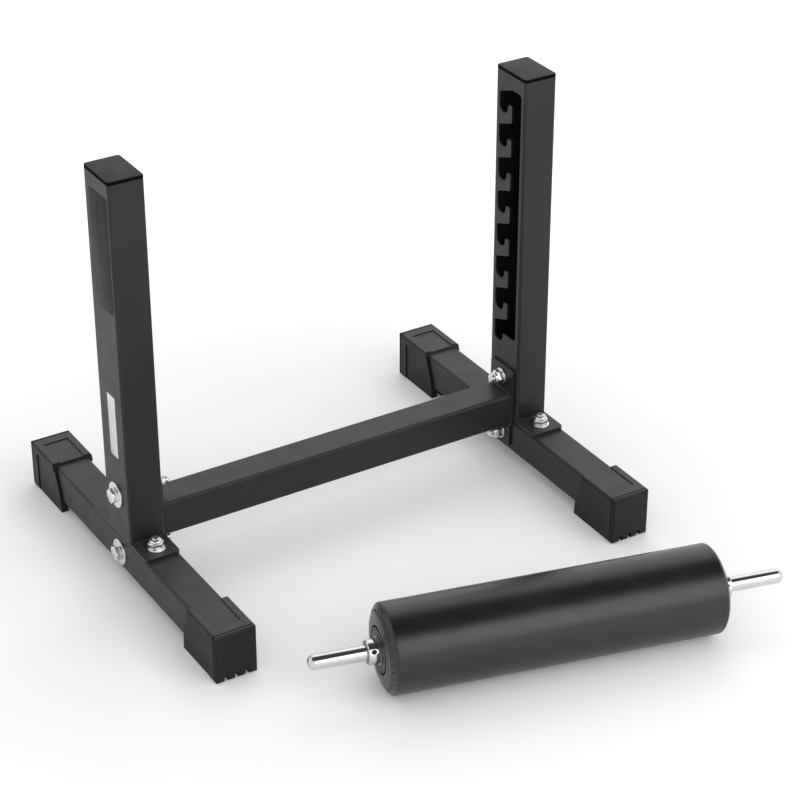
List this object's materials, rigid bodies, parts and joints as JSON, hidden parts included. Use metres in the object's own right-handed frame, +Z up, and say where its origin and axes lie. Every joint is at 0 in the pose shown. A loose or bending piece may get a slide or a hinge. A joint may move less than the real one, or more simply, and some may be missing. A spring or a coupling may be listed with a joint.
{
  "type": "split squat stand",
  "caption": "Black steel floor stand with two toothed slotted uprights on a bolted H-shaped base, and a padded roller on a steel axle that hangs in their pockets at any height.",
  "frame": {"origin": "on the floor, in the middle of the box around the stand and the roller that lies in front of it", "axes": "+X along the crossbeam to the right, +Y to the back of the stand, away from the roller, +Z up"},
  "size_m": [0.7086, 0.8375, 0.595],
  "materials": {
    "powder_coat": "satin",
    "cap_plastic": "satin",
    "shoe_rubber": "matte",
    "zinc": "satin",
    "polished_steel": "polished",
    "hub_plastic": "matte",
    "foam": "matte"
  },
  "bodies": {
    "stand": {"left_upright": "powder_coat", "right_upright": "powder_coat", "left_cap": "cap_plastic", "right_cap": "cap_plastic", "left_base_plate": "powder_coat", "right_base_plate": "powder_coat", "left_floor_tube": "powder_coat", "right_floor_tube": "powder_coat", "front_left_shoe": "shoe_rubber", "front_right_shoe": "shoe_rubber", "back_left_shoe": "shoe_rubber", "back_right_shoe": "shoe_rubber", "crossbeam_tube": "powder_coat", "left_end_plate": "powder_coat", "right_end_plate": "powder_coat", "left_beam_bolts": "zinc", "right_beam_bolts": "zinc", "left_wide_washers": "zinc", "right_wide_washers": "zinc", "left_beam_washers": "zinc", "right_beam_washers": "zinc", "left_beam_nuts": "zinc", "right_beam_nuts": "zinc", "left_base_bolts": "zinc", "right_base_bolts": "zinc", "left_sole_washers": "zinc", "right_sole_washers": "zinc", "left_base_washers": "zinc", "right_base_washers": "zinc", "left_base_nuts": "zinc", "right_base_nuts": "zinc"},
    "axle_set": {"axle": "polished_steel", "left_collar": "polished_steel", "right_collar": "polished_steel", "left_set_screw": "zinc", "right_set_screw": "zinc"},
    "roller": {"core_tube": "zinc", "left_hub": "hub_plastic", "right_hub": "hub_plastic", "foam_sleeve": "foam"}
  },
  "joints": [
    {"name": "roller_lift", "type": "slide", "parent": "stand", "child": "axle_set", "axis": [0, 0, 1], "range_m": [0, 0.4815]},
    {"name": "roller_spin", "type": "hinge", "parent": "axle_set", "child": "roller", "pos_m": [0.0427, -0.30824, 0.06], "axis": [0.971, -0.2392, 0], "continuous": true}
  ]
}
